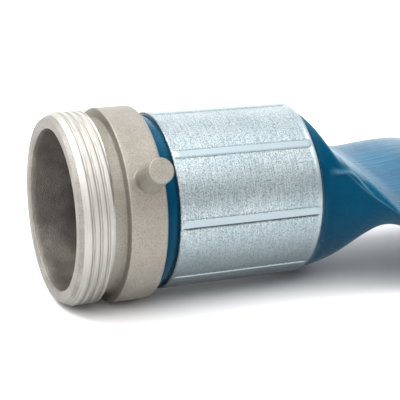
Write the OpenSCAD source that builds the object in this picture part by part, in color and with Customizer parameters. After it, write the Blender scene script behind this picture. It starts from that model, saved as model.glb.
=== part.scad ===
// Lay-flat discharge hose assembly, 2 inch: a cast male threaded shank with pin lugs is crimped on one
// end, the hose leaves it flat, lies in a tied double roll, and ends in a swivel female coupling.
// Millimetres. X runs along the male coupling from its nose towards the hose, Z is up, and the origin
// is the centre of the male coupling's end face.

/* [Thread] */
// Male thread diameter over the crests
thread_d = 59.6; // [58.8:0.1:60.2]
// Thread pitch, 11 threads per inch
thread_pitch = 2.309; // [2.1:0.001:2.4]
// Thread depth from crest to root
thread_depth = 1.2; // [0.9:0.05:1.4]
// Full turns of male thread
male_turns = 4; // [3:1:4]
// Full turns of female thread
female_turns = 7; // [5:1:7]

/* [Male shank] */
// Waterway diameter at the nose
bore_d = 49.9; // [48:0.1:50.5]
// Waterway diameter inside the hose
shank_bore_d = 45; // [43:0.5:46]
// Outer diameter of the barbed shank inside the hose
shank_d = 50.6; // [50:0.1:51]
// Nose length from end face to collar
nose_l = 15.2; // [14.5:0.1:17]
// Neck diameter between thread and collar
neck_d = 54; // [53:0.5:56]
// Collar diameter
collar_d = 60.6; // [60:0.1:62]
// Collar width
collar_w = 11.6; // [10:0.1:13]
// Diameter of a pin lug at its tip
lug_d = 7.6; // [7:0.1:9]
// Height of a pin lug's tip from the axis
lug_reach = 42.2; // [39:0.1:44]
// Angle of the first lug above the horizontal
lug_angle = 25.7; // [0:0.1:60]

/* [Ferrules and hose] */
// Outer diameter of a crimped ferrule
ferrule_d = 56; // [55.6:0.1:57]
// Ferrule wall thickness
ferrule_wall = 1.3; // [1.1:0.05:1.4]
// Ferrule length
ferrule_l = 48.2; // [44:0.1:52]
// Bare hose showing between collar and ferrule
hose_gap = 4.5; // [3:0.1:6]
// Width of the hose pressed flat
flat_w = 84; // [82:0.5:85]
// Thickness of the hose pressed flat
flat_t = 3.4; // [3:0.1:3.5]

/* [Roll] */
// Distance from the male nose to the roll's axis
roll_x = 270; // [265:1:280]
// Outer diameter of the roll
roll_d = 186; // [180:1:188]
// Diameter of the hollow core
core_d = 50; // [44:1:54]
// Width of a tie strap
tie_w = 20; // [16:1:25]

/* [Female coupling] */
// Swivel nut outer diameter
nut_d = 71; // [70:0.5:74]
// Swivel nut length
nut_l = 32; // [31:0.5:36]
// Running clearance between nut and tail piece
run_gap = 0.35; // [0.3:0.05:0.5]

/* [Hidden] */
$fn = 96;

thread_r = thread_d / 2;
root_r = thread_r - thread_depth;
face_r = root_r - 0.5;
first_crest = 3.2;
crest_flat = 0.3;
neck_r = neck_d / 2;
collar_r = collar_d / 2;
collar_x = nose_l;
lug_x = collar_x + collar_w / 2 + 0.5;
hose_x = nose_l + collar_w;
ferrule_x = hose_x + hose_gap;
exit_x = ferrule_x + ferrule_l;
shank_end = exit_x - 3;
barb_pitch = 6;
floor_z = -collar_r;

ferrule_r = ferrule_d / 2;
crimped_r = ferrule_r - ferrule_wall;
first_ridge = 3;
liner_t = (crimped_r - shank_d / 2) * 0.42;
yarn_t = (crimped_r - shank_d / 2) * 0.16;
round_r = 26.9;
upright_b = 5;

lug_base_d = lug_d + 0.8;
lug_foot_d = lug_d + 2.6;
lug_foot_h = 1.2;

roll_z = floor_z + roll_d / 2;
tie_t = 1.6;
tie_core_gap = 3.4;
tie_rim_gap = 2;
tie_side_gap = 0.3;

// Female coupling, placed by the mouth end of its ferrule
female_x = roll_x + 288.2;
female_z = floor_z + nut_d / 2;
sleeve_r = 27.2;
sleeve_l = 12;
flange_r = 30.6;
flange_t = 4.5;
flange_x = hose_gap + sleeve_l;
lip_t = 4.5;
gasket_t = 3.5;
gasket_r = 30.4;
chamber_l = lip_t + run_gap + flange_t + gasket_t;
nut_x = flange_x - run_gap - lip_t;
female_minor_r = root_r + 0.15;
female_root_r = thread_r + 0.15;

// Route of the flat hose leaving the male ferrule:
// x, z, half thickness, angle of the near fold from the top towards -Y, pinch of the near edge
lead_route = [
    [exit_x, 0, round_r, 30, 0], [84, -2.5, 25, 50, 0.3], [88.5, -3.8, 23.7, 61, 0.35],
    [93, -4.6, 23, 69, 0.4], [97, -3.6, 21.3, 79, 0.5], [101.5, -2.5, 18.5, 90, 0.8],
    [106, -3.2, 14, 98, 1.2], [110.5, -4.4, 10.8, 102, 1.5], [115, -5, 10.8, 101, 1.4],
    [121, -5.6, 11.6, 99, 1.3], [128, -5.4, 12.5, 98, 1.1], [136, -5.2, 13, 97, 1],
    [145, -6, 12, 96, 1], [155, -8, 10, 94, 1], [166, -12, 8, 92, 0.9], [178, -17, 6, 91, 0.8],
    [190, -21.5, 4.2, 90, 0.6], [202, -25, 3, 90, 0.4], [215, -27, 2.2, 90, 0.2],
    [230, -28.2, 1.8, 90, 0], [250, -28.6, 1.7, 90, 0], [roll_x, -28.6, 1.7, 90, 0]];

// Route of the other end, from the side of the roll down to the female ferrule, offset from roll_x
tail_route = [
    [93, 62, 1.7, 90, 0], [93.5, 45, 1.7, 90, 0], [96, 28, 1.7, 90, 0], [102, 10, 1.8, 90, 0],
    [112, -6, 1.9, 90, 0], [126, -18, 2.2, 90, 0], [144, -23, 3.2, 90, 0], [164, -22, 5, 90, 0],
    [184, -16, 8, 90, 0], [202, -9, 12, 90, 0], [218, -2, 17, 90, 0], [230, 3, 23, 90, 0],
    [240, female_z, round_r, 90, 0]];

// Outline of the hose section: half width a, half thickness b, one edge pinched flat by a power
function section(a, b, pinch, sides) =
    [for (k = [0 : sides - 1])
        let (t = 360 * k / sides) [a * cos(t), b * sin(t) * pow(abs(sin(t / 2)), pinch)]];

function girth(points, i = 0) =
    i == len(points) ? 0
    : norm(points[(i + 1) % len(points)] - points[i]) + girth(points, i + 1);

// Half width that keeps the girth of the round hose, by bisection
function half_width(b, pinch, low = 20, high = flat_w / 2 + 0.5, steps = 12) =
    let (mid = (low + high) / 2)
    steps == 0 ? mid
    : girth(section(mid, b, pinch, 48)) > 360 * round_r * PI / 180
        ? half_width(b, pinch, low, mid, steps - 1)
        : half_width(b, pinch, mid, high, steps - 1);

function unit2(v) = v / norm(v);

// Direction of the route at point i, in the XZ plane
function heading(route, i) =
    let (a = route[max(i - 1, 0)], b = route[min(i + 1, len(route) - 1)])
    unit2([b[0] - a[0], b[1] - a[1]]);

// Open parts of the hose stand square to X, so that they meet the ferrules flush
function ring(route, i, sides) =
    let (p = route[i], h = p[2] < upright_b ? heading(route, i) : [1, 0],
         up = [-h[1], 0, h[0]], near = [0, -1, 0],
         fold = up * cos(p[3]) + near * sin(p[3]),
         flat = near * cos(p[3]) - up * sin(p[3]))
    [for (q = section(half_width(p[2], p[4]), p[2], p[4], sides))
        [p[0], 0, p[1]] + fold * q[0] + flat * q[1]];

module swept_hose(route, sides = 12) {
    n = len(route);
    points = [for (i = [0 : n - 1]) each ring(route, i, sides)];
    walls = [for (i = [0 : n - 2], k = [0 : sides - 1])
        let (k2 = (k + 1) % sides, a = i * sides, b = a + sides)
        each [[a + k, b + k2, a + k2], [a + k, b + k, b + k2]]];
    caps = [[for (k = [0 : sides - 1]) k], [for (k = [sides - 1 : -1 : 0]) (n - 1) * sides + k]];
    polyhedron(points, concat(walls, caps));
}

module along_x(x = 0, z = 0) {
    translate([x, 0, z]) rotate([0, 90, 0]) children();
}

module tube(r_out, r_in, l) {
    difference() {
        cylinder(r = r_out, h = l);
        translate([0, 0, -1]) cylinder(r = r_in, h = l + 2);
    }
}

// Outline points [radius, height] of one thread ridge
function ridge(r_base, r_tip, z) =
    [[r_base, z - thread_pitch / 2 + crest_flat], [r_tip, z - crest_flat],
     [r_tip, z + crest_flat], [r_base, z + thread_pitch / 2 - crest_flat]];

// Outline points of the shallow barbs that grip the hose
function barbs(z0, z1, count) =
    [for (i = [0 : count - 1])
        each [[shank_d / 2 - 0.6, z0 + i * barb_pitch], [shank_d / 2, z0 + (i + 0.8) * barb_pitch]]];

module pin_lug(r_seat) {
    foot = r_seat - 2;
    translate([0, 0, foot]) cylinder(d1 = lug_base_d, d2 = lug_d, h = lug_reach - foot);
    translate([0, 0, foot]) cylinder(d = lug_foot_d, h = 1.8);
    translate([0, 0, foot + 1.8]) cylinder(d1 = lug_foot_d, d2 = lug_base_d, h = lug_foot_h);
}

// Two lugs on opposite sides, pointing away from the X axis
module lug_pair(x, z, r_seat, angle) {
    for (turn = [0, 180])
        translate([x, 0, z]) rotate([90 - angle + turn, 0, 0]) pin_lug(r_seat);
}

module male_shank() color([0.72, 0.70, 0.67]) {
    last = first_crest + (male_turns - 1) * thread_pitch;
    difference() {
        union() {
            along_x() rotate_extrude() polygon(concat(
                [[0, 0], [face_r, 0], [thread_r, first_crest - crest_flat],
                 [thread_r, first_crest + crest_flat],
                 [root_r, first_crest + thread_pitch / 2 - crest_flat]],
                [for (i = [1 : male_turns - 1])
                    each ridge(root_r, thread_r, first_crest + i * thread_pitch)],
                [[root_r, last + thread_pitch / 2 + 0.4], [neck_r, last + thread_pitch / 2 + 0.7],
                 [neck_r, collar_x], [collar_r - 0.5, collar_x], [collar_r, collar_x + 0.5],
                 [collar_r, hose_x - 0.5], [collar_r - 0.5, hose_x]],
                barbs(hose_x, shank_end, 8),
                [[shank_d / 2 - 1, shank_end], [0, shank_end]]));
            lug_pair(lug_x, 0, collar_r, lug_angle);
        }
        along_x(-1) cylinder(d = bore_d, h = hose_x - 3);
        along_x(hose_x - 4.01) cylinder(d1 = bore_d, d2 = shank_bore_d, h = 8.01);
        along_x(hose_x + 3.99) cylinder(d = shank_bore_d, h = shank_end);
    }
}

// Crimped steel sleeve: the ridges left between the press dies stand just proud of it
module ferrule() {
    difference() {
        union() {
            cylinder(r = ferrule_r - 0.15, h = ferrule_l);
            for (turn = [0 : 45 : 315])
                rotate([0, 0, turn + first_ridge]) translate([ferrule_r - 1, -1.1, 1.6])
                    cube([1.1, 2.2, ferrule_l - 3.2]);
        }
        translate([0, 0, -1]) cylinder(r = crimped_r, h = ferrule_l + 2);
    }
}

module male_ferrule() color([0.75, 0.82, 0.85]) along_x(ferrule_x) ferrule();

module female_ferrule() color([0.75, 0.82, 0.85])
    along_x(female_x - ferrule_l, female_z) ferrule();

// Clamped hose wall: liner, yarn and cover are bonded layers
module hose_layer(r_in, thick, l) tube(r_in + thick, r_in, l);

module male_layer(r_in, thick) along_x(hose_x) hose_layer(r_in, thick, exit_x - hose_x);

module female_layer(r_in, thick)
    along_x(female_x - ferrule_l, female_z) hose_layer(r_in, thick, ferrule_l + hose_gap);

liner_r = shank_d / 2;
yarn_r = liner_r + liner_t;
cover_r = yarn_r + yarn_t;

module male_hose_liner() color([0.07, 0.30, 0.45]) male_layer(liner_r, liner_t);
module male_hose_yarn() color([0.85, 0.87, 0.88]) male_layer(yarn_r, yarn_t);
module male_hose_cover() color([0.05, 0.30, 0.45]) male_layer(cover_r, crimped_r - cover_r);
module female_hose_liner() color([0.07, 0.30, 0.45]) female_layer(liner_r, liner_t);
module female_hose_yarn() color([0.85, 0.87, 0.88]) female_layer(yarn_r, yarn_t);
module female_hose_cover() color([0.05, 0.30, 0.45]) female_layer(cover_r, crimped_r - cover_r);

module hose_lead() color([0.05, 0.30, 0.45]) swept_hose(lead_route);

module hose_tail() color([0.05, 0.30, 0.45])
    translate([roll_x, 0, 0]) swept_hose(tail_route);

module hose_roll() color([0.05, 0.30, 0.45])
    translate([roll_x, flat_w / 2, roll_z]) rotate([90, 0, 0])
        rotate_extrude() translate([core_d / 2, 0]) square([(roll_d - core_d) / 2, flat_w]);

// Strap through the core and round the outside, at an angle from +X towards +Z
module roll_tie(angle) {
    inside = core_d / 2 - tie_core_gap;
    depth = roll_d / 2 + tie_rim_gap - inside;
    width = flat_w + 2 * tie_side_gap;
    translate([roll_x, 0, roll_z]) rotate([0, -angle, 0])
        translate([inside, 0, -tie_w / 2]) difference() {
            translate([-tie_t, -width / 2 - tie_t, 0])
                cube([depth + 2 * tie_t, width + 2 * tie_t, tie_w]);
            translate([0, -width / 2, -1]) cube([depth, width, tie_w + 2]);
        }
}

module roll_tie_top() color([0.09, 0.09, 0.10]) roll_tie(60);
module roll_tie_side() color([0.09, 0.09, 0.10]) roll_tie(172);

module female_shank() color([0.72, 0.70, 0.67]) difference() {
    along_x(female_x, female_z) rotate_extrude() polygon(concat(
        [[0, 3 - ferrule_l], [shank_d / 2 - 1, 3 - ferrule_l]],
        [for (i = [0 : 6]) each [[shank_d / 2, 4 - ferrule_l + i * barb_pitch],
                                 [shank_d / 2 - 0.6, 4 - ferrule_l + (i + 0.8) * barb_pitch]]],
        [[shank_d / 2 - 0.6, hose_gap], [sleeve_r, hose_gap], [sleeve_r, flange_x],
         [flange_r, flange_x], [flange_r, flange_x + flange_t], [0, flange_x + flange_t]]));
    along_x(female_x - ferrule_l, female_z) cylinder(d = shank_bore_d, h = ferrule_l + 40);
}

module gasket() color([0.08, 0.08, 0.08])
    along_x(female_x + flange_x + flange_t, female_z)
        tube(gasket_r, shank_bore_d / 2 + 2, gasket_t);

module swivel_nut() color([0.72, 0.70, 0.67]) {
    nut_r = nut_d / 2;
    first = chamber_l + 1.6;
    difference() {
        union() {
            along_x(female_x + nut_x, female_z) rotate_extrude() polygon([
                [0, 0], [nut_r - 3, 0], [nut_r - 2, 1], [nut_r - 2, 5], [nut_r, 7],
                [nut_r, nut_l - 1], [nut_r - 1, nut_l], [0, nut_l]]);
            lug_pair(female_x + nut_x + nut_l / 2 + 2, female_z, nut_r, 0);
        }
        along_x(female_x + nut_x, female_z) rotate_extrude() polygon(concat(
            [[0, -1], [sleeve_r + run_gap, -1], [sleeve_r + run_gap, lip_t],
             [flange_r + run_gap, lip_t], [flange_r + run_gap, chamber_l]],
            [for (i = [0 : female_turns - 1])
                each ridge(female_root_r, female_minor_r, first + i * thread_pitch)],
            [[female_root_r, nut_l - 1], [female_root_r + 1, nut_l], [female_root_r + 1, nut_l + 1],
             [0, nut_l + 1]]));
    }
}

male_shank();
male_ferrule();
male_hose_liner();
male_hose_yarn();
male_hose_cover();
hose_lead();
hose_roll();
hose_tail();
roll_tie_top();
roll_tie_side();
female_hose_liner();
female_hose_yarn();
female_hose_cover();
female_ferrule();
female_shank();
gasket();
swivel_nut();
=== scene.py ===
import math

import bmesh
import bpy
import numpy as np
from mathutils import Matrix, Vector, noise


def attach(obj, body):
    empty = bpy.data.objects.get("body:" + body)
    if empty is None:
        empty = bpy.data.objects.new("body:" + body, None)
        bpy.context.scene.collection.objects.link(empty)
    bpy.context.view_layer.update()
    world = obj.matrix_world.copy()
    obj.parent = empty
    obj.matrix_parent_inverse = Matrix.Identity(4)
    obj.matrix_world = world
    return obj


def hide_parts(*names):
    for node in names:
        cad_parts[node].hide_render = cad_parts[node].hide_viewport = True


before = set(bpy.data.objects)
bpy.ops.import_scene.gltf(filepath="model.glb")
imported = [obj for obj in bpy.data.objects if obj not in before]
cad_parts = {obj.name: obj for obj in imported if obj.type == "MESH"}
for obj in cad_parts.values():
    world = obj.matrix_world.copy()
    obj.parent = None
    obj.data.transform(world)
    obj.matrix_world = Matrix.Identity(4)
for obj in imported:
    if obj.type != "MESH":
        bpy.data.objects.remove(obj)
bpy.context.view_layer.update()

MM = 0.001
UV_MM = 100
ROOT = "hose_assembly"
SWIVEL = "swivel"
SHARP_ANGLE = math.radians(38)
UV_R = 28
FLOOR_REACH = 6

# Coupling, in millimetres; X runs from the male nose towards the hose, Z is up
FLOOR_Z = -30.3
BORE_R, SHANK_BORE_R, BARB_R, SHANK_END = 24.95, 22.5, 25.3, 76.5
FACE_R, CREST_R, ROOT_R, NECK_R, PITCH = 28.1, 29.8, 29.2, 27.0, 2.309
THREAD_START, THREAD_END_X = 3.97, 9.6
CHAMFER_L, FACED_L, RUN_OUT_L = 2.9, 1.3, 1.7
COLLAR_X, HOSE_X, COLLAR_R = 15.2, 26.8, 30.3
LUG_X, LUG_REACH, LUG_ANGLE = 21.5, 42.2, 25.7
FERRULE_X, EXIT_X, FERRULE_R, CRIMPED_R = 31.3, 79.5, 28.0, 26.7
RIDGE_ANGLE, RIDGE_STEP = -3, 45
COVER_SHOWN = FERRULE_X - HOSE_X

# Hose and roll
HOSE_LENGTH = 7.62
ROUND_R, FLAT_B, FLAT_W = 26.9, 1.5, 84
GIRTH = 2 * math.pi * ROUND_R
ROLL_X, ROLL_Z, ROLL_R = 270, 62.7, 91.25
ROLL_TURNS = 9.03
SEAM_A = 262
LEAVE_B = -270
BIGHT_R, BIGHT_SWEEP = 8, 60

# Female end
FEMALE_X, FEMALE_Z = 558.2, 5.2
SLEEVE_R, FLANGE_R, FLANGE_X, FLANGE_T = 27.2, 30.6, 574.7, 4.5
NUT_X, NUT_L, NUT_R, NUT_CHAMBER, NUT_THREAD_START = 569.85, 32, 35.5, 12.85, 14.45
GASKET_T, GASKET_R = 3.5, 30.4

# Rows of the hose leaving the male ferrule:
# x, z, half thickness, angle of the near fold from the top towards -Y, pinch of the near edge
LEAD_ROUTE = [
    [EXIT_X, 0, ROUND_R, 30, 0], [84, -4.2, 23.9, 56, 0.3], [88.5, -6, 22.4, 65, 0.35],
    [93, -6.6, 21.2, 73, 0.4], [97, -5.4, 19, 81, 0.5], [101.5, -3.4, 15.8, 90, 0.8],
    [106, -2.9, 11.6, 97, 1.2], [110.5, -3.8, 9.4, 100, 1.5], [115, -4.2, 9.6, 100, 1.4],
    [121, -4.2, 11, 99.8, 1.3], [128, -4.2, 13, 101, 1.1], [136, -3.6, 14, 101, 1],
    [145, -3.5, 13, 100.5, 1], [155, -4.8, 11, 99, 1], [166, -9, 8, 96, 0.9],
    [178, -17, 6, 91, 0.8], [190, -21.5, 4.2, 90, 0.6], [202, -25, 3, 90, 0.4],
    [215, -27, 2.2, 90, 0.2], [230, -28.2, 1.7, 90, 0], [250, -28.55, FLAT_B, 90, 0],
    [ROLL_X, -28.55, FLAT_B, 90, 0]]

# Line of the dent's upper rim on the front of the lead, x and z
CREASE_X = [81.5, 83.2, 86.2, 88, 89.6, 91.4, 93.8]
CREASE_Z = [9, 10.1, 10.4, 10, 8.8, 6.2, 3.2]

# Rows of the other end, from the side of the roll down to the female ferrule, offset from ROLL_X
TAIL_ROUTE = [
    [92.9, 62.7, FLAT_B, 90, 0], [93.5, 45, 1.6, 90, 0], [96, 28, 1.7, 90, 0],
    [102, 10, 1.8, 90, 0], [112, -6, 1.9, 90, 0], [126, -18, 2.2, 90, 0],
    [144, -23, 3.2, 90, 0], [164, -22, 5, 90, 0], [184, -16, 8, 90, 0], [202, -9, 12, 90, 0],
    [218, -2, 17, 90, 0], [230, 3, 23, 90, 0], [240, FEMALE_Z, ROUND_R, 90, 0]]


# ---------------------------------------------------------------- camera
def add_camera():
    azimuth, elevation = math.radians(-23.16), math.radians(13.85)
    back = Vector((math.sin(azimuth) * math.cos(elevation),
                   -math.cos(azimuth) * math.cos(elevation),
                   math.sin(elevation)))
    data = bpy.data.cameras.new("Camera")
    data.lens, data.sensor_width = 109.56, 36
    data.clip_start, data.clip_end = 0.01, 50
    camera = bpy.data.objects.new("Camera", data)
    camera.location = Vector((0.04945, 0, -0.00161)) + back * 0.3914
    camera.rotation_euler = back.to_track_quat("Z", "Y").to_euler()
    bpy.context.scene.collection.objects.link(camera)
    bpy.context.scene.camera = camera


# ---------------------------------------------------------------- node materials
def add(tree, kind, inputs=None, **settings):
    made = tree.nodes.new("ShaderNode" + kind)
    for key, value in settings.items():
        setattr(made, key, value)
    for key, value in (inputs or {}).items():
        if isinstance(value, bpy.types.NodeSocket):
            tree.links.new(value, made.inputs[key])
        else:
            made.inputs[key].default_value = value
    return made


def srgb(r, g, b):
    def linear(c):
        c = c / 255
        return c / 12.92 if c <= 0.04045 else ((c + 0.055) / 1.055) ** 2.4
    return (linear(r), linear(g), linear(b), 1)


def new_material(name, **values):
    made = bpy.data.materials.new(name)
    made.use_nodes = True
    tree = made.node_tree
    shader = tree.nodes["Principled BSDF"]
    for key, value in values.items():
        shader.inputs[key.replace("_", " ")].default_value = value
    return made, tree, shader


def coords(tree, source, stretch=(1, 1, 1)):
    start = add(tree, "TexCoord")
    scaled = add(tree, "Mapping", {"Vector": start.outputs[source], "Scale": stretch})
    return scaled.outputs["Vector"]


def speckle(tree, vector, scale, detail=3, roughness=0.6):
    made = add(tree, "TexNoise", {"Vector": vector, "Scale": scale, "Detail": detail,
                                  "Roughness": roughness})
    return made.outputs["Fac"]


def spread(tree, value, low, high, out_low=0, out_high=1):
    made = add(tree, "MapRange", {"Value": value, "From Min": low, "From Max": high,
                                  "To Min": out_low, "To Max": out_high})
    return made.outputs["Result"]


def maths(tree, operation, a, b):
    made = add(tree, "Math", {0: a, 1: b}, operation=operation)
    return made.outputs["Value"]


def tint(tree, factor, a, b):
    made = add(tree, "Mix", {0: factor, 6: a, 7: b}, data_type="RGBA")
    return made.outputs[2]


def bump(tree, height, distance, strength=1, normal=None):
    inputs = {"Height": height, "Distance": distance, "Strength": strength}
    if normal is not None:
        inputs["Normal"] = normal
    return add(tree, "Bump", inputs).outputs["Normal"]


def mask(tree, name):
    return add(tree, "Attribute", attribute_name=name).outputs["Fac"]


def upward(tree, low, high):
    """How far a surface faces up, as a mask between two heights of its normal."""
    normal = add(tree, "NewGeometry").outputs["Normal"]
    height = add(tree, "SeparateXYZ", {"Vector": normal}).outputs["Z"]
    return spread(tree, height, low, high)


def turned_metal():
    made, tree, shader = new_material("turned_aluminium", Metallic=1)
    uv = coords(tree, "UV", (0.6, 30, 1))
    lines = speckle(tree, uv, 12, 4)
    patches = speckle(tree, coords(tree, "Object"), 60, 3)
    colour = tint(tree, spread(tree, lines, 0.35, 0.65), srgb(164, 161, 156), srgb(188, 185, 180))
    dull = tint(tree, spread(tree, patches, 0.5, 0.75, 0, 0.45), colour, srgb(160, 157, 153))
    # Painted shade: surfaces facing down are tinted darker.
    low = tint(tree, upward(tree, 0.1, -0.7), dull, srgb(148, 145, 140))
    tree.links.new(low, shader.inputs["Base Color"])
    rough = spread(tree, patches, 0.3, 0.7, 0.44, 0.56)
    tree.links.new(rough, shader.inputs["Roughness"])
    tree.links.new(bump(tree, lines, 0.00006, 0.5), shader.inputs["Normal"])
    return made


def cast_metal(name, light, dark, roughness):
    grain = 0.00012
    made, tree, shader = new_material(name, Metallic=0.85)
    place = coords(tree, "Object")
    fine = speckle(tree, place, 2300, 2)
    coarse = speckle(tree, place, 140, 4)
    colour = tint(tree, spread(tree, coarse, 0.35, 0.68), dark, light)
    spots = tint(tree, spread(tree, fine, 0.42, 0.66, 0, 0.55), colour, srgb(118, 114, 106))
    tree.links.new(spots, shader.inputs["Base Color"])
    tree.links.new(spread(tree, coarse, 0.3, 0.7, roughness, roughness + 0.12),
                   shader.inputs["Roughness"])
    soft = bump(tree, coarse, grain * 2.5, 0.4)
    tree.links.new(bump(tree, fine, grain, 0.9, soft), shader.inputs["Normal"])
    return made


def zinc_plate():
    made, tree, shader = new_material("zinc_plate", Metallic=1)
    round_lines = speckle(tree, coords(tree, "UV", (1.2, 26, 1)), 9, 4)
    grain = speckle(tree, coords(tree, "Object"), 2600, 2, 0.75)
    pits = speckle(tree, coords(tree, "Object"), 1300, 2)
    clouds = speckle(tree, coords(tree, "Object"), 45, 4)
    band = mask(tree, "band")
    edge = mask(tree, "edge")
    plain = tint(tree, spread(tree, clouds, 0.35, 0.65), srgb(166, 182, 187), srgb(186, 197, 201))
    streaked = tint(tree, spread(tree, round_lines, 0.45, 0.68, 0, 0.7), plain, srgb(132, 144, 150))
    # Painted shade: surfaces facing down are tinted darker.
    shaded_below = tint(tree, upward(tree, 0, -0.8), streaked, srgb(128, 140, 145))
    wear_and_highlight = tint(tree, spread(tree, grain, 0.42, 0.62, 0, 0.75), shaded_below, srgb(108, 119, 122))
    pitted = tint(tree, spread(tree, pits, 0.56, 0.7, 0, 0.5), wear_and_highlight, srgb(104, 110, 108))
    # The die flats get the same painted shade on surfaces facing down.
    flat = tint(tree, upward(tree, 0, -0.8), srgb(156, 169, 175), srgb(120, 130, 135))
    smooth = tint(tree, band, pitted, flat)
    # Painted shade: the edge mark darkens the grooves beside the crimp ridges and the sleeve's rims.
    dark = tint(tree, maths(tree, "MULTIPLY", edge, spread(tree, grain, 0.34, 0.52, 0.25, 1)),
                smooth, srgb(58, 62, 60))
    tree.links.new(dark, shader.inputs["Base Color"])
    tree.links.new(spread(tree, grain, 0.3, 0.7, 0.26, 0.42), shader.inputs["Roughness"])
    relief = maths(tree, "ADD", maths(tree, "MULTIPLY", round_lines, 0.7),
                   maths(tree, "MULTIPLY", grain, 0.8))
    shallow = maths(tree, "MULTIPLY", relief, maths(tree, "SUBTRACT", 1, band))
    tree.links.new(bump(tree, shallow, 0.00016, 0.55), shader.inputs["Normal"])
    return made


def hose_pvc():
    made, tree, shader = new_material("hose_pvc", IOR=1.33, Specular_Tint=(0.1, 0.55, 0.95, 1),
                                      Sheen_Weight=0.2, Sheen_Roughness=0.4,
                                      Sheen_Tint=(0.03, 0.5, 0.8, 1))
    along = speckle(tree, coords(tree, "UV", (7, 0.8, 1)), 10, 3)
    weave_u = add(tree, "TexWave", {"Vector": coords(tree, "UV"), "Scale": 22, "Distortion": 0.6},
                  bands_direction="X").outputs["Fac"]
    clouds = speckle(tree, coords(tree, "Object"), 30, 3)
    shade = tint(tree, spread(tree, clouds, 0.3, 0.7), srgb(0, 42, 62), srgb(0, 52, 76))
    patches = speckle(tree, coords(tree, "Object"), 42, 2)
    # Painted light: surfaces facing up get a lighter blue, in patches.
    painted_top_light = maths(tree, "MULTIPLY", upward(tree, 0.6, 1),
                  spread(tree, patches, 0.35, 0.65, 0.3, 1))
    colour = tint(tree, painted_top_light, shade, srgb(0, 82, 112))
    # Painted highlight: a lighter blue along the folded edges and the dent's rim, from the rim mark.
    painted_fold_highlight = maths(tree, "MULTIPLY", mask(tree, "rim"), spread(tree, along, 0.3, 0.6, 0.2, 0.8))
    wear_and_highlight = tint(tree, painted_fold_highlight, colour, srgb(96, 140, 158))
    tree.links.new(wear_and_highlight, shader.inputs["Base Color"])
    tree.links.new(spread(tree, clouds, 0.3, 0.7, 0.2, 0.32), shader.inputs["Roughness"])
    relief = maths(tree, "ADD", along, maths(tree, "MULTIPLY", weave_u, 0.1))
    tree.links.new(bump(tree, relief, 0.0003, 0.5), shader.inputs["Normal"])
    return made


def woven(name, light, dark, threads, roughness):
    made, tree, shader = new_material(name)
    uv = coords(tree, "UV")
    across = add(tree, "TexWave", {"Vector": uv, "Scale": threads, "Distortion": 0.4},
                 bands_direction="X").outputs["Fac"]
    along = add(tree, "TexWave", {"Vector": uv, "Scale": threads, "Distortion": 0.4},
                bands_direction="Y").outputs["Fac"]
    weave = maths(tree, "MULTIPLY", across, along)
    tree.links.new(tint(tree, weave, dark, light), shader.inputs["Base Color"])
    tree.links.new(spread(tree, weave, 0, 1, roughness, roughness - 0.15),
                   shader.inputs["Roughness"])
    tree.links.new(bump(tree, weave, 0.0003, 0.8), shader.inputs["Normal"])
    return made


def rubber():
    made, tree, shader = new_material("gasket_rubber")
    grain = speckle(tree, coords(tree, "Object"), 900, 3)
    tree.links.new(tint(tree, grain, srgb(22, 22, 22), srgb(48, 48, 47)),
                   shader.inputs["Base Color"])
    tree.links.new(spread(tree, grain, 0.3, 0.7, 0.5, 0.7), shader.inputs["Roughness"])
    tree.links.new(bump(tree, grain, 0.0001, 0.6), shader.inputs["Normal"])
    return made


def floor_paint():
    made, tree, shader = new_material("studio_floor", Roughness=0.9)
    grain = speckle(tree, coords(tree, "Object"), 20, 2)
    tree.links.new(tint(tree, grain, (0.86, 0.86, 0.86, 1), (0.88, 0.88, 0.88, 1)),
                   shader.inputs["Base Color"])
    return made


# ---------------------------------------------------------------- mesh building
class Shape:
    """Points, faces and texture coordinates gathered in millimetres for one mesh."""

    def __init__(self):
        self.points, self.faces, self.uvs, self.slots, self.marks = [], [], [], [], []
        self.size = 0

    def grid(self, rows, uv, slots=0, close=False, marks=None):
        """rows[i, k] points round a loop; uv with one more column; slots one or one per row."""
        count, around = rows.shape[:2]
        start = self.size
        self.points.append(rows.reshape(-1, 3))
        self.marks.append(np.zeros((count * around, 2)) if marks is None else marks.reshape(-1, 2))
        self.size += count * around
        for i in range(count if close else count - 1):
            i2 = (i + 1) % count
            v2 = uv[i2] if i2 else uv[i] + (uv[i] - uv[i - 1])
            slot = slots if isinstance(slots, int) else slots[i]
            for k in range(around):
                k2 = (k + 1) % around
                a, b = start + i * around, start + i2 * around
                self.faces.append((a + k, a + k2, b + k2, b + k))
                self.uvs.append((uv[i][k], uv[i][k + 1], v2[k + 1], v2[k]))
                self.slots.append(slot)
        return start

    def cap(self, ring, centre, slot=0):
        """A fan from a ring of point indexes to one new point."""
        self.points.append(np.array([centre], float))
        self.marks.append(np.zeros((1, 2)))
        middle = self.size
        self.size += 1
        for k, a in enumerate(ring):
            b = ring[(k + 1) % len(ring)]
            self.faces.append((a, b, middle))
            self.uvs.append(((0, 0), (0.01, 0), (0, 0.01)))
            self.slots.append(slot)

    def made(self, name, materials, body, slot, replaced=(), marks=()):
        mesh = bpy.data.meshes.new(name)
        points = np.concatenate(self.points) * MM
        mesh.from_pydata(points.tolist(), [], self.faces)
        layer = mesh.uv_layers.new(name="UVMap")
        flat = [c for face in self.uvs for corner in face for c in corner]
        layer.data.foreach_set("uv", np.array(flat, np.float32))
        mesh.polygons.foreach_set("material_index", np.array(self.slots, np.int32))
        values = np.concatenate(self.marks)
        for column, mark in enumerate(marks):
            attribute = mesh.attributes.new(mark, "FLOAT", "POINT")
            attribute.data.foreach_set("value", values[:, column].astype(np.float32))
        for material in materials:
            mesh.materials.append(material)
        face_outwards(mesh)
        obj = bpy.data.objects.new(name, mesh)
        bpy.context.scene.collection.objects.link(obj)
        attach(obj, body)
        if replaced:
            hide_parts(*replaced)
        return obj


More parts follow.
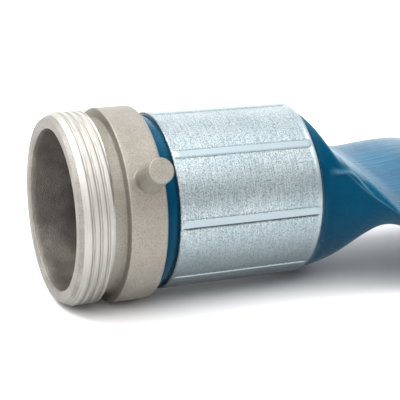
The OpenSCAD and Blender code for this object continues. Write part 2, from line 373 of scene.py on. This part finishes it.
def face_outwards(mesh):
    work = bmesh.new()
    work.from_mesh(mesh)
    bmesh.ops.recalc_face_normals(work, faces=work.faces)
    work.to_mesh(mesh)
    work.free()
    mesh.shade_smooth()
    mesh.set_sharp_from_angle(angle=SHARP_ANGLE)


def turned(x, radius, angles, axis_z=0.0):
    """Points on circles about the X axis; angles in degrees from -Y towards +Z."""
    x, radius, angle = np.broadcast_arrays(x, radius, np.radians(angles))
    return np.stack([x, -radius * np.cos(angle), axis_z + radius * np.sin(angle)], -1)


def profile_uv(rows, angles):
    """u round the axis and v along the profile, with the closing column added."""
    steps = np.linalg.norm(np.diff(rows.mean(1), axis=0), axis=1)
    reach = np.linalg.norm(rows - rows.mean(1, keepdims=True), axis=2).mean(1)
    steps = np.hypot(steps, np.diff(reach))
    v = np.concatenate([[0], np.cumsum(steps)]) / UV_MM
    u = np.concatenate([np.radians(angles), [2 * math.pi]]) * UV_R / UV_MM
    return np.stack(np.broadcast_arrays(u[None, :], v[:, None]), -1)


def lathe(shape, profile, columns, axis_z, wobble=None):
    """Turned solid from a closed [x, radius] profile; wobble(x, r, angle) adds to the radius."""
    angles = np.arange(columns) * 360 / columns
    line = np.array(profile, float)
    x, r = line[:, :1], line[:, 1:2]
    extra = wobble(x, r, angles[None, :]) if wobble else 0
    rows = turned(x, r + extra, angles[None, :], axis_z)
    shape.grid(rows, profile_uv(rows, angles), close=True)


def ripple(x, angle, size, cell, seed):
    """Smooth noise of a size in millimetres, for a turned surface."""
    x, angle = np.broadcast_arrays(x, np.radians(angle))
    out = np.empty(x.shape)
    for at in np.ndindex(x.shape):
        a = angle[at]
        out[at] = noise.noise((x[at] / cell, math.cos(a) * UV_R / cell + seed,
                               math.sin(a) * UV_R / cell))
    return out * size


def step(value, low, high):
    """Smooth rise from 0 to 1, or a fall when low is above high."""
    t = np.clip((value - low) / (high - low), 0, 1)
    return t * t * (3 - 2 * t)


# ---------------------------------------------------------------- male shank
def thread_radius(x, angle):
    """Radius of the male thread: a right-hand helix with a chamfered start and a faded end."""
    turn = np.mod(180 - angle, 360) / 360
    place = (x - THREAD_START) / PITCH - turn
    nearest = np.abs(place - np.round(place))
    land = 1 - step(nearest, 0.2, 0.46)
    ridge = ROOT_R + (CREST_R - ROOT_R) * land
    end = THREAD_END_X + 1.3 * step(np.cos(np.radians(angle - 80)), -0.2, 0.9)
    fade = np.clip((x - end) / 0.9, 0, 1)
    chamfer = FACE_R + x * (CREST_R - FACE_R) / CHAMFER_L
    return np.minimum(ridge, chamfer) * (1 - fade) + NECK_R * fade


def shank_rows():
    """[x, radius, kind] round the closed section of the shank."""
    rows = [[SHANK_END, SHANK_BORE_R, "bore"], [60, SHANK_BORE_R, "bore"], [45, SHANK_BORE_R, "bore"]]
    rows += [[x, SHANK_BORE_R, "bore"] for x in np.linspace(40, 30.8, 6)]
    rows += [[x, BORE_R, "bore"] for x in np.linspace(22.8, 0.6, 14)]
    rows += [[0.55, BORE_R + 0.02, "turned"], [0.5, BORE_R + 0.06, "turned"],
             [0.05, BORE_R + 0.5, "turned"], [0, BORE_R + 0.58, "turned"],
             [0, BORE_R + 0.8, "turned"], [0, FACE_R - 0.2, "turned"], [0, FACE_R, "turned"]]
    rows += [[x, CREST_R, "thread"] for x in np.arange(0.15, 13.2, 0.15)]
    rows += [[14.4, NECK_R, "cast"], [14.9, NECK_R + 0.05, "cast"],
             [COLLAR_X - 0.05, NECK_R + 0.3, "cast"], [COLLAR_X, NECK_R + 0.6, "cast"],
             [COLLAR_X, COLLAR_R - 1, "cast"]]
    rows += [[COLLAR_X + 0.5 - 0.5 * math.cos(t), COLLAR_R - 0.5 + 0.5 * math.sin(t), "cast"]
             for t in np.linspace(0, math.pi / 2, 6)]
    rows += [[x, COLLAR_R, "cast"] for x in np.linspace(COLLAR_X + 2, HOSE_X - 2, 10)]
    rows += [[HOSE_X - 0.9 + 0.9 * math.sin(t), COLLAR_R - 0.9 + 0.9 * math.cos(t), "cast"]
             for t in np.linspace(0, math.pi / 2, 6)]
    rows += [[HOSE_X, 27, "cast"], [HOSE_X, BARB_R, "cast"]]
    for i in range(8):
        rows += [[HOSE_X + 0.3 + i * 6, BARB_R - 0.6, "cast"], [HOSE_X + 5 + i * 6, BARB_R, "cast"]]
    return rows + [[SHANK_END, BARB_R - 0.6, "cast"]]


def add_shank_body(shape):
    rows = shank_rows()
    angles = np.arange(288) * 1.25
    x = np.array([[r[0]] for r in rows])
    radius = np.repeat(np.array([[r[1]] for r in rows]), len(angles), 1)
    kinds = np.array([r[2] for r in rows])
    cut = kinds == "thread"
    radius[cut] = thread_radius(x[cut], angles[None, :])
    rough = (kinds == "cast") & (x[:, 0] < HOSE_X + 0.1)
    radius[rough] += ripple(x[rough], angles[None, :], 0.16, 9, 3)
    gate = np.exp(-((angles - 284) / 3.2) ** 2)[None, :] * np.exp(-((x - 22.5) / 1.8) ** 2)
    radius[rough] += 0.55 * gate[rough]
    points = turned(x, radius, angles[None, :])
    number = {"turned": 4, "thread": 0, "cast": 1, "bore": 2}
    slots = [1 if k == "thread" and at > THREAD_END_X + RUN_OUT_L else
             4 if k == "thread" and at < FACED_L else number[k]
             for k, at in zip(kinds, x[:, 0])]
    shape.grid(points, profile_uv(points, angles), slots=slots, close=True)


def lug_rows(reach, seat):
    """[offset from the lug's own axis, height over the axis of the part] down the side of a lug."""
    tip, side, foot = 3.8, 4.05, 5.1
    rows = [[r, reach] for r in (0.8, 1.8, 2.8, 3.4)]
    rows += [[tip - 0.3 + 0.3 * math.sin(t), reach - 0.3 + 0.3 * math.cos(t)]
             for t in np.linspace(0, math.pi / 2, 5)]
    rows += [[tip + (side - tip) * s, reach - 0.3 - (reach - 0.3 - seat - 1.2) * s]
             for s in np.linspace(0.15, 1, 8)]
    rows += [[side + (foot - side) * (1 - math.cos(t)), seat + 1.2 - 1.5 * math.sin(t)]
             for t in np.linspace(0.2, math.pi / 2, 6)]
    return np.array(rows)


def add_lug(shape, x, axis_z, seat, angle, slot, seed):
    """A cast pin with a rounded tip and a fillet that follows the round seat it stands on."""
    rows = lug_rows(LUG_REACH, seat)
    turn = np.radians(np.arange(48) * 7.5)[None, :]
    off, height = rows[:, :1], rows[:, 1:2]
    along = off * np.cos(turn)
    side = off * np.sin(turn)
    drop = seat - np.sqrt(seat ** 2 - side ** 2)
    low = step(height, seat + 3.5, seat + 0.5)
    height = height - drop * low
    a = math.radians(angle)
    out = np.array([0, -math.cos(a), math.sin(a)])
    round_it = np.array([0, math.sin(a), math.cos(a)])
    points = (np.array([x, 0, axis_z]) + along[..., None] * np.array([1, 0, 0])
              + side[..., None] * round_it + height[..., None] * out)
    for at in np.ndindex(points.shape[:2]):
        shift = noise.noise(Vector(points[at]) / 2.2 + Vector((seed, 0, 0))) * 0.07
        points[at] += shift * out
    uv = np.zeros((len(rows), 49, 2))
    uv[..., 0] = np.arange(49)[None, :] * 0.006
    uv[..., 1] = rows[:, 1:2] / UV_MM
    first = shape.grid(points, uv, slots=slot)
    shape.cap(range(first, first + 48), np.array([x, 0, axis_z]) + LUG_REACH * out, slot)


def build_male_shank(paints):
    shape = Shape()
    add_shank_body(shape)
    add_lug(shape, LUG_X, 0, COLLAR_R, LUG_ANGLE, 3, 1)
    add_lug(shape, LUG_X, 0, COLLAR_R, LUG_ANGLE + 180, 3, 5)
    shape.made("male_shank_cast", [paints["turned"], paints["cast"], paints["bore"], paints["lug"],
                                   paints["faced"]],
               ROOT, "cast_aluminium", ["male_shank"])


# ---------------------------------------------------------------- ferrules
def ferrule_rows(length):
    """[place along the sleeve, radius] round its closed section."""
    lip = 0.6
    rows = [[0, CRIMPED_R + 0.15], [0, CRIMPED_R + 0.4]]
    rows += [[lip - lip * math.cos(t), FERRULE_R - lip + lip * math.sin(t) - 0.1]
             for t in np.linspace(0.2, math.pi / 2, 6)]
    rows += [[x, FERRULE_R - 0.1] for x in np.linspace(1.1, length - 3.4, 52)]
    rows += [[length - 3.1 + d, FERRULE_R - 0.1] for d in (0.2, 0.5, 0.8, 1.2, 1.6)]
    rows += [[length - 1.2 + 1.6 * math.sin(t), FERRULE_R - 1.7 + 1.6 * math.cos(t)]
             for t in np.linspace(0.15, 1.35, 7)]
    rows += [[length + 0.4, CRIMPED_R + 0.2], [length - 0.3, CRIMPED_R]]
    rows += [[x, CRIMPED_R] for x in (length - 2, length / 2, 2, 0.3)]
    return np.array(rows)


def crimp(place, angles, length):
    """How far the crimped outside stands off a plain cylinder, with marks for band and edge; the edge
    mark is painted shade along the grooves beside each ridge and at both rims.
    """
    spot = np.mod(angles - RIDGE_ANGLE + RIDGE_STEP / 2, RIDGE_STEP) - RIDGE_STEP / 2
    side = np.radians(spot) * FERRULE_R
    pressed = step(place, 0.8, 1.4) * (1 - step(place, length - 2.2, length - 1.5))
    faint = 0.55 + 0.45 * np.cos(np.radians(angles + 60))
    band = 1 - step(np.abs(side), 1.05, 1.3)
    upper = 0.7 * faint * np.exp(-((side - 1.45) / 0.22) ** 2)
    lower = faint * np.exp(-((side + 1.45) / 0.28) ** 2)
    height = 0.3 * band - 0.12 * upper - 0.2 * lower - 0.05 * np.cos(np.radians(spot) * 8)
    border = 1 - step(place, length - 2.2, length - 1.5)
    rims = 0.9 * (1 - step(place, 0.1, 0.7)) + 0.75 * step(place, length - 1.0, length - 0.3)
    # The second mark is painted shade: dark lines in the grooves beside the ridges and at both rims.
    marks = np.stack([np.maximum(band * pressed, 0.7 * (1 - border)),
                      np.minimum((0.9 * upper + lower) * pressed + rims, 1)], -1)
    return height * pressed + 0.16 * (1 - border), marks


def build_ferrule(name, replaced, start, axis_z, paint, flip=False):
    length = EXIT_X - FERRULE_X
    rows = ferrule_rows(length)
    angles = np.arange(720) * 0.5
    place, radius = rows[:, :1], rows[:, 1:2]
    outer = (radius > CRIMPED_R + 0.5).astype(float)
    lift, marks = crimp(place, angles[None, :], length)
    lift = lift + np.zeros_like(place)
    coarse = ripple(place, angles[None, ::8], 0.07, 11, 7)
    waves = np.repeat(coarse, 8, 1)
    waves = (waves + np.roll(waves, 2, 1) + np.roll(waves, 4, 1) + np.roll(waves, 6, 1)) / 4
    x = start + (length - place if flip else place)
    points = turned(x, radius + outer * (lift + waves), angles[None, :], axis_z)
    shape = Shape()
    shape.grid(points, profile_uv(points, angles), close=True,
               marks=marks * outer[..., None] * np.ones(points.shape[:2] + (1,)))
    shape.made(name, [paint], ROOT, "zinc_plated_steel", [replaced], ("band", "edge"))


# ---------------------------------------------------------------- hose
def section(a, b, pinch, columns):
    """Hose section: half width a, half thickness b; thin sections get blunt sides."""
    t = np.linspace(0, 2 * math.pi, columns, endpoint=False)
    blunt = 0.45 + 0.55 * step(b, 2, 12)
    rise = np.sign(np.sin(t)) * np.abs(np.sin(t)) ** blunt * np.abs(np.sin(t / 2)) ** pinch
    return a * np.cos(t), b * rise


def girth(a, b, pinch, columns):
    """Distance round a section."""
    p, q = section(a, b, pinch, columns)
    return np.hypot(p - np.roll(p, 1), q - np.roll(q, 1)).sum()


def half_width(b, pinch, columns=96):
    """Half width at which a section keeps the hose's girth."""
    low, high = 20, FLAT_W / 2 + 0.5
    for _ in range(16):
        middle = (low + high) / 2
        if girth(middle, b, pinch, columns) > GIRTH:
            high = middle
        else:
            low = middle
    return low


def smoothed(route, per_step):
    """Catmull-Rom rows through a route."""
    route = np.array(route, float)
    padded = np.concatenate([[2 * route[0] - route[1]], route, [2 * route[-1] - route[-2]]])
    out = []
    for i in range(1, len(padded) - 2):
        before, a, b, after = padded[i - 1:i + 3]
        for t in np.arange(per_step) / per_step:
            out.append(0.5 * (2 * a + (b - before) * t + (2 * before - 5 * a + 4 * b - after) * t ** 2
                              + (3 * a - before - 3 * b + after) * t ** 3))
    return np.array(out + [padded[-2]])


def strand(start, end, radius_at_0, spacing, degrees):
    """Rows of a spiral strand round the roll from one turn angle to another."""
    turn = np.arange(start, end, math.copysign(degrees, end - start))
    turn = np.append(turn, end)
    radius = radius_at_0 - 2 * spacing * turn / 360
    angle = np.radians(turn - 90)
    rows = np.zeros((len(turn), 5))
    rows[:, 0] = ROLL_X + radius * np.cos(angle)
    rows[:, 1] = ROLL_Z + radius * np.sin(angle)
    rows[:, 2], rows[:, 3] = FLAT_B, 90
    return rows


def bight(spacing):
    """Rows of the small loop in the core where the doubled hose turns back."""
    last = ROLL_TURNS * 360
    before = np.arange(last - BIGHT_SWEEP, last, 4.0)
    turn = np.append(before, last)
    outer = ROLL_R - 2 * spacing * turn / 360
    dive = step((turn - last + BIGHT_SWEEP) / BIGHT_SWEEP, 0, 1)
    inner = outer - spacing - (2 * BIGHT_R - spacing) * dive
    angle = np.radians(last - 90)
    middle = np.array([math.cos(angle), math.sin(angle)]) * (outer[-1] + inner[-1]) / 2
    out = np.array([math.cos(angle), math.sin(angle)])
    ahead = np.array([-out[1], out[0]])
    loop = [middle + BIGHT_R * (math.cos(t) * out + math.sin(t) * ahead)
            for t in np.linspace(0, math.pi, 15)[1:-1]]
    back = [[math.cos(t - math.pi / 2) * r, math.sin(t - math.pi / 2) * r]
            for t, r in zip(np.radians(turn[::-1]), inner[::-1])]
    rows = np.zeros((len(loop) + len(back), 5))
    rows[:, :2] = np.array(loop + back) + [ROLL_X, ROLL_Z]
    rows[:, 2], rows[:, 3] = FLAT_B, 90
    return rows


def length_of(rows):
    """Length of a centreline, in metres."""
    return float(np.linalg.norm(np.diff(rows[:, :2], axis=0), axis=1).sum()) * MM


def inner_turns(spacing):
    """Rows of both strands inside the outer turn, down to the loop in the core and back."""
    last = ROLL_TURNS * 360
    down = strand(SEAM_A, last, ROLL_R, spacing, 5.0)
    up = strand(last - BIGHT_SWEEP - 4, 0, ROLL_R - spacing, spacing, 5.0)
    return np.concatenate([down, bight(spacing), up])


def hose_rows():
    """Rows of the lead, inner turns and tail, with the layer spacing that gives the full length."""
    lead = smoothed(LEAD_ROUTE, 10)
    tail = np.array(TAIL_ROUTE, float)
    tail[:, 0] += ROLL_X
    tail = smoothed(tail, 8)
    low, high = 3.05, 3.6
    for _ in range(14):
        spacing = (low + high) / 2
        first = np.concatenate([lead[:-1], strand(0, SEAM_A, ROLL_R, spacing, 3.0)])
        last = np.concatenate([strand(0, LEAVE_B, ROLL_R - spacing, spacing, 3.0)[:-1], tail])
        inner = inner_turns(spacing)
        if length_of(first) + length_of(inner) + length_of(last) > HOSE_LENGTH:
            low = spacing
        else:
            high = spacing
    return first, inner, last


def headings(rows):
    """Unit directions in the XZ plane; open parts of the hose stand square to X."""
    flow = np.gradient(rows[:, :2], axis=0)
    flow /= np.linalg.norm(flow, axis=1, keepdims=True)
    mix = step(rows[:, 2], 2.5, 6.5)[:, None]
    square = np.array([[1.0, 0.0]])
    mixed = flow * (1 - mix) + square * mix
    return mixed / np.linalg.norm(mixed, axis=1, keepdims=True)


def hose_grid(rows, columns):
    """Hose surface points and texture coordinates; the upper side sinks beside the twist."""
    way = headings(rows)
    points = np.empty((len(rows), columns, 3))
    near = np.array([0.0, -1.0, 0.0])
    cache = {}
    for i, (x, z, b, turn, pinch) in enumerate(rows):
        b, pinch = max(b, FLAT_B), max(pinch, 0)
        key = (round(b, 3), round(pinch, 3))
        if key not in cache:
            cache[key] = half_width(*key)
        p, q = section(cache[key], b, pinch, columns)
        up = np.array([-way[i, 1], 0, way[i, 0]])
        c, s = math.cos(math.radians(turn)), math.sin(math.radians(turn))
        fold, flat = up * c + near * s, near * c - up * s
        flatter = 0.55 * step(x, 104, 118) * (1 - step(x, 180, 215)) * step(b, 2, 5)
        q = np.where(q < 0, q * (1 - flatter), q)
        points[i] = np.array([x, 0, z]) + p[:, None] * fold + q[:, None] * flat
    v = np.concatenate([[0], np.cumsum(np.linalg.norm(np.diff(rows[:, :2], axis=0), axis=1))])
    u = np.arange(columns + 1) * GIRTH / columns
    uv = np.stack(np.broadcast_arrays(u[None, :], v[:, None]), -1) / UV_MM
    return points, uv


def sway(points, size, cell, seed):
    """Small uneven shift of whole rows along Y, as turns that don't stack exactly."""
    for i in range(len(points)):
        points[i, :, 1] += noise.noise((i / cell, seed, 0)) * size
    return points


def crease(points):
    """Presses a dent with a raised rim into the twisted front of the lead; returns the rim's marks,
    which carry a painted highlight.
    """
    x, y, z = points[..., 0], points[..., 1], points[..., 2]
    below = np.interp(x, CREASE_X, CREASE_Z) - z
    shown = step(x, 82, 84) * (1 - step(x, 91, 95)) * step(-y, 6, 12)
    rim = np.exp(-((below + 0.1) / 0.45) ** 2)
    dent = step(below, 0, 1.6) * (1 - step(below, 4.5, 12))
    points[..., 1] += shown * (1.1 * dent - 0.3 * rim)
    return shown * rim


def fold_highlight_marks(rows, columns):
    """Marks for the two folded edges of the hose, where the wall is thin enough to crease; the marks
    carry a painted highlight.
    """
    t = np.linspace(0, 2 * math.pi, columns, endpoint=False)
    thin = 1 - step(rows[:, 2], 20, 25)
    near = np.exp(-(np.sin(t / 2) / 0.03) ** 2) + 0.5 * np.exp(-(np.cos(t / 2) / 0.03) ** 2)
    return thin[:, None] * near[None, :]


def hose_piece(name, rows, columns, paint, replaced, open_start=False, open_end=False,
               unevenness=0.0, dented=False):
    points, uv = hose_grid(rows, columns)
    if unevenness:
        points = sway(points, unevenness, 40, len(rows) % 7)
    # The rim marks paint a highlight along both folds and the dent's rim.
    rim = 0.6 * fold_highlight_marks(rows, columns)
    if dented:
        rim = np.maximum(rim, crease(points))
    shape = Shape()
    first = shape.grid(points, uv, marks=np.stack([rim, np.zeros_like(rim)], -1))
    if not open_start:
        shape.cap(range(first, first + columns), points[0].mean(0))
    if not open_end:
        ring = first + (len(points) - 1) * columns
        shape.cap(range(ring, ring + columns), points[-1].mean(0))
    return shape.made(name, [paint], ROOT, "hose_pvc", replaced, ("rim",))


def build_hose(paints):
    first, inner, last = hose_rows()
    lead = hose_piece("hose_lead_and_outer_turn", first, 256, paints["hose"], ["hose_lead"],
                      open_start=True, dented=True)
    turns = hose_piece("hose_inner_turns", inner, 28, paints["hose"], ["hose_roll"], unevenness=0.9)
    tail = hose_piece("hose_outer_turn_and_tail", last, 64, paints["hose"], ["hose_tail"],
                      open_end=True)
    return (lead, first), (turns, inner), (tail, last)


def build_sleeve(name, replaced, span, radii, axis_z, paint, slot, bulge=0.0):
    """A clamped layer of hose wall; the cover swells a little where it shows."""
    (x0, x1), (r_in, r_out) = span, radii
    outside = [[x, r_out] for x in np.linspace(x0, x1, 60)]
    profile = [[x0, r_in]] + outside + [[x1, r_in]]

    def swell(x, r, angle):
        shown = (x < FERRULE_X - 0.1) if x0 < ROLL_X else (x > FEMALE_X + 0.1)
        at = (x - (HOSE_X if x0 < ROLL_X else FEMALE_X)) / COVER_SHOWN
        arch = np.sin(np.clip(at, 0, 1) * math.pi)
        waves = ripple(x, angle, 0.5, 8, 11) + ripple(x, angle, 0.25, 3, 4)
        return np.where((r > r_in + 0.01) & shown, arch * bulge * (1 + waves), 0)

    shape = Shape()
    lathe(shape, profile, 180, axis_z, wobble=swell if bulge else None)
    shape.made(name, [paint], ROOT, slot, [replaced])


def build_clamped_layers(paints):
    wall = CRIMPED_R - BARB_R
    edges = [BARB_R, BARB_R + 0.42 * wall, BARB_R + 0.58 * wall, CRIMPED_R]
    spans = {"male": ((HOSE_X, EXIT_X), 0.0),
             "female": ((FEMALE_X - EXIT_X + FERRULE_X, FEMALE_X + COVER_SHOWN), FEMALE_Z)}
    for end, (span, z) in spans.items():
        build_sleeve(end + "_liner", end + "_hose_liner", span, edges[0:2], z, paints["hose"],
                     "hose_pvc")
        build_sleeve(end + "_yarn", end + "_hose_yarn", span, edges[1:3], z, paints["yarn"],
                     "hose_yarn")
        build_sleeve(end + "_cover", end + "_hose_cover", span, edges[2:4], z, paints["hose"],
                     "hose_pvc", bulge=0.55)


# ---------------------------------------------------------------- straps
def strap_line():
    """[radius from the roll's axis, y] of a strap with its end lapped over the outside."""
    inside, outside, side, corner = 21.5, 96.0, 44.0, 5.0
    line = [[outside, y] for y in np.linspace(-18, side - corner, 12)]
    near, far = inside + corner, outside - corner
    corners = (((far, side - corner), 0), ((near, side - corner), 90),
               ((near, corner - side), 180), ((far, corner - side), 270))
    for centre, start in corners:
        arc = [[centre[0] + corner * math.cos(math.radians(start + t)),
                centre[1] + corner * math.sin(math.radians(start + t))] for t in range(0, 91, 15)]
        line += arc
    lap = [[outside + 1.7 * step(y, -36.0, -18.0), y] for y in np.linspace(-34, 26, 16)]
    return np.array(line + lap)


def build_strap(name, replaced, angle, paint):
    line = strap_line()
    flow = np.gradient(line, axis=0)
    flow /= np.linalg.norm(flow, axis=1, keepdims=True)
    out = np.stack([flow[:, 1], -flow[:, 0]], -1)
    half, thick, turn = 10.0, 0.75, math.radians(angle)
    edge = [[-half, 0], [-half + 0.4, thick], [0, thick], [half - 0.4, thick],
            [half, 0], [half - 0.4, -thick], [0, -thick], [-half + 0.4, -thick]]
    axis = np.array([math.cos(turn), 0, math.sin(turn)])
    across = np.array([-math.sin(turn), 0, math.cos(turn)])
    rows = np.empty((len(line), len(edge), 3))
    for i, (r, y) in enumerate(line):
        for k, (side, lift) in enumerate(edge):
            reach = r + lift * out[i, 0]
            bow = 0.4 * noise.noise((i / 4, angle, 0))
            rows[i, k] = (np.array([ROLL_X, 0, ROLL_Z]) + axis * reach + across * (side + bow)
                          + np.array([0, y + lift * out[i, 1], 0]))
    v = np.concatenate([[0], np.cumsum(np.linalg.norm(np.diff(line, axis=0), axis=1))]) / UV_MM
    u = np.array([0, 1, 10, 19, 20, 21, 30, 39, 40]) / UV_MM
    uv = np.stack(np.broadcast_arrays(u[None, :], v[:, None]), -1)
    shape = Shape()
    first = shape.grid(rows, uv)
    count = len(edge)
    shape.cap(range(first, first + count), rows[0].mean(0))
    ring = first + (len(rows) - 1) * count
    shape.cap(range(ring, ring + count), rows[-1].mean(0))
    return shape.made(name, [paint], ROOT, "strap_fabric", [replaced]), float(v[-1]) * UV_MM * MM


# ---------------------------------------------------------------- female end
def build_female_shank(paints):
    start = FEMALE_X - (EXIT_X - FERRULE_X)
    profile = [[start, SHANK_BORE_R], [start + 3, BARB_R - 1]]
    for i in range(7):
        profile += [[start + 4 + i * 6, BARB_R], [start + 8.8 + i * 6, BARB_R - 0.6]]
    profile += [[FEMALE_X + COVER_SHOWN, BARB_R - 0.6], [FEMALE_X + COVER_SHOWN, SLEEVE_R - 0.5],
                [FEMALE_X + 5, SLEEVE_R]]
    profile += [[x, SLEEVE_R] for x in np.linspace(FEMALE_X + 6, FLANGE_X - 1, 8)]
    profile += [[FLANGE_X - 0.3, SLEEVE_R + 0.1], [FLANGE_X, SLEEVE_R + 0.4],
                [FLANGE_X, FLANGE_R - 0.4], [FLANGE_X + 0.4, FLANGE_R],
                [FLANGE_X + FLANGE_T - 0.4, FLANGE_R], [FLANGE_X + FLANGE_T, FLANGE_R - 0.4]]
    profile += [[FLANGE_X + FLANGE_T, SHANK_BORE_R + 0.5],
                [FLANGE_X + FLANGE_T - 0.5, SHANK_BORE_R]]
    profile += [[x, SHANK_BORE_R] for x in np.linspace(570, start + 4, 8)]
    shape = Shape()
    lathe(shape, profile, 192, FEMALE_Z)
    shape.made("female_shank_cast", [paints["cast"]], ROOT, "cast_aluminium", ["female_shank"])


def build_gasket(paints):
    x0, x1 = FLANGE_X + FLANGE_T, FLANGE_X + FLANGE_T + GASKET_T
    inner = SHANK_BORE_R + 2
    profile = [[x0, inner + 0.6], [x0, GASKET_R - 0.6], [x0 + 0.6, GASKET_R], [x1 - 0.6, GASKET_R],
               [x1, GASKET_R - 0.6], [x1, 28.6], [x1 - 0.3, 28.2], [x1 - 0.3, 27.2], [x1, 26.8],
               [x1, inner + 0.6], [x1 - 0.6, inner], [x0 + 0.6, inner]]
    shape = Shape()
    lathe(shape, profile, 160, FEMALE_Z)
    shape.made("gasket_ring", [paints["rubber"]], ROOT, "gasket_rubber", ["gasket"])


def nut_inside(x, angle):
    """Radius of the female thread in the nut, x from the nut's back face."""
    turn = np.mod(180 - angle, 360) / 360
    place = (x - NUT_THREAD_START) / PITCH - turn
    nearest = np.abs(place - np.round(place))
    land = 1 - step(nearest, 0.14, 0.42)
    minor, major = ROOT_R + 0.15, CREST_R + 0.15
    radius = major - (major - minor) * land
    return np.maximum(radius, minor + step(x, NUT_L - 1.6, NUT_L) * 2.2)


def add_nut_body(shape):
    rows = [[0, SLEEVE_R + 0.85], [0, NUT_R - 3.6], [0.2, NUT_R - 3.2], [1, NUT_R - 2.2],
            [1.6, NUT_R - 2], [5, NUT_R - 2], [5.6, NUT_R - 1.6], [6.6, NUT_R - 0.3],
            [7.4, NUT_R], [12, NUT_R], [17, NUT_R], [22, NUT_R], [27, NUT_R], [NUT_L - 1, NUT_R],
            [NUT_L - 0.4, NUT_R - 0.3], [NUT_L, NUT_R - 1], [NUT_L, CREST_R + 1.4]]
    threads = [[x, 0] for x in np.arange(NUT_L - 0.05, NUT_CHAMBER + 0.3, -0.17)]
    back = [[NUT_CHAMBER, FLANGE_R + 0.35], [9, FLANGE_R + 0.35], [4.5, FLANGE_R + 0.35],
            [4.5, SLEEVE_R + 0.5], [4.2, SLEEVE_R + 0.35], [0.4, SLEEVE_R + 0.35]]
    line = np.array(rows + threads + back)
    angles = np.arange(288) * 1.25
    x, radius = line[:, :1], np.repeat(line[:, 1:2], len(angles), 1)
    cut = slice(len(rows), len(rows) + len(threads))
    radius[cut] = nut_inside(x[cut], angles[None, :])
    radius[2:14] += ripple(x[2:14], angles[None, :], 0.14, 9, 21)
    points = turned(x + NUT_X, radius, angles[None, :], FEMALE_Z)
    slots = [1] * (len(rows) - 2) + [0] * (len(line) - len(rows) + 2)
    shape.grid(points, profile_uv(points, angles), slots=slots, close=True)


def build_nut(paints):
    shape = Shape()
    add_nut_body(shape)
    for angle in (0, 180):
        add_lug(shape, NUT_X + NUT_L / 2 + 2, FEMALE_Z, NUT_R, angle, 2, angle / 20 + 2)
    shape.made("swivel_nut_cast", [paints["turned"], paints["cast"], paints["lug"]],
               SWIVEL, "cast_aluminium", ["swivel_nut"])


# ---------------------------------------------------------------- studio
def add_floor(paint):
    mesh = bpy.data.meshes.new("floor")
    z, far = FLOOR_Z * MM, FLOOR_REACH
    mesh.from_pydata([(-far, -far, z), (far, -far, z), (far, far, z), (-far, far, z)], [],
                     [(0, 1, 2, 3)])
    mesh.materials.append(paint)
    floor = bpy.data.objects.new("floor", mesh)
    bpy.context.scene.collection.objects.link(floor)


def add_area(name, place, aim, size, power):
    data = bpy.data.lights.new(name, "AREA")
    data.shape, data.size, data.size_y, data.energy = "RECTANGLE", size[0], size[1], power
    light = bpy.data.objects.new(name, data)
    light.location = place
    light.rotation_euler = (Vector(place) - Vector(aim)).to_track_quat("Z", "Y").to_euler()
    bpy.context.scene.collection.objects.link(light)


def facing(tree, direction, toward):
    """How closely a direction in the surroundings points one way."""
    made = add(tree, "VectorMath", {0: direction, 1: toward}, operation="DOT_PRODUCT")
    return made.outputs["Value"]


def add_world():
    """White surroundings, brightest behind and above the object."""
    world = bpy.data.worlds.new("studio")
    world.use_nodes = True
    tree = world.node_tree
    backdrop = tree.nodes["Background"]
    backdrop.inputs["Color"].default_value = (1, 1, 1, 1)
    direction = add(tree, "TexCoord").outputs["Generated"]
    overhead = facing(tree, direction, (-0.05, -0.1, 0.99))
    behind = facing(tree, direction, (0.38, 0.9, 0.22))
    ahead = facing(tree, direction, (0.3, -0.94, 0.12))
    level = maths(tree, "ADD", 0.66, spread(tree, overhead, 0.1, 1, 0, 1.45))
    level = maths(tree, "ADD", level, spread(tree, behind, 0.72, 0.98, 0, 1.3))
    level = maths(tree, "ADD", level, spread(tree, ahead, 0.82, 0.98, 0, -0.25))
    tree.links.new(level, backdrop.inputs["Strength"])
    bpy.context.scene.world = world


def add_lights():
    add_world()
    add_area("softbox", (-0.45, 0.15, 0.8), (0.03, 0, 0), (0.5, 0.4), 5)
    sun = bpy.data.lights.new("overhead", "SUN")
    sun.energy, sun.angle = 1.3, math.radians(60)
    lamp = bpy.data.objects.new("overhead", sun)
    lamp.rotation_euler = Vector((-0.3, -0.5, 1)).to_track_quat("Z", "Y").to_euler()
    bpy.context.scene.collection.objects.link(lamp)
    view = bpy.context.scene.view_settings
    view.view_transform, view.look = "Standard", "None"


def main():
    add_camera()
    paints = {
        "turned": turned_metal(),
        "cast": cast_metal("cast_aluminium", srgb(158, 153, 145), srgb(143, 138, 130), 0.5),
        "lug": cast_metal("cast_lug", srgb(159, 155, 145), srgb(142, 137, 128), 0.5),
        "faced": cast_metal("faced_aluminium", srgb(158, 154, 149), srgb(128, 124, 119), 0.5),
        "bore": cast_metal("bored_aluminium", srgb(150, 144, 138), srgb(120, 114, 108), 0.42),
        "zinc": zinc_plate(),
        "hose": hose_pvc(),
        "yarn": woven("hose_yarn", srgb(235, 236, 232), srgb(180, 182, 180), 30, 0.8),
        "strap": woven("strap_webbing", srgb(38, 38, 42), srgb(12, 12, 14), 24, 0.85),
        "rubber": rubber(),
    }
    lead, turns, tail = build_hose(paints)
    build_male_shank(paints)
    build_ferrule("male_ferrule_crimped", "male_ferrule", FERRULE_X, 0, paints["zinc"])
    build_clamped_layers(paints)
    straps = [build_strap("strap_top", "roll_tie_top", 60, paints["strap"]),
              build_strap("strap_side", "roll_tie_side", 172, paints["strap"])]
    build_ferrule("female_ferrule_crimped", "female_ferrule", FEMALE_X - EXIT_X + FERRULE_X,
                  FEMALE_Z, paints["zinc"], flip=True)
    build_female_shank(paints)
    build_gasket(paints)
    build_nut(paints)
    add_floor(floor_paint())
    add_lights()


main()
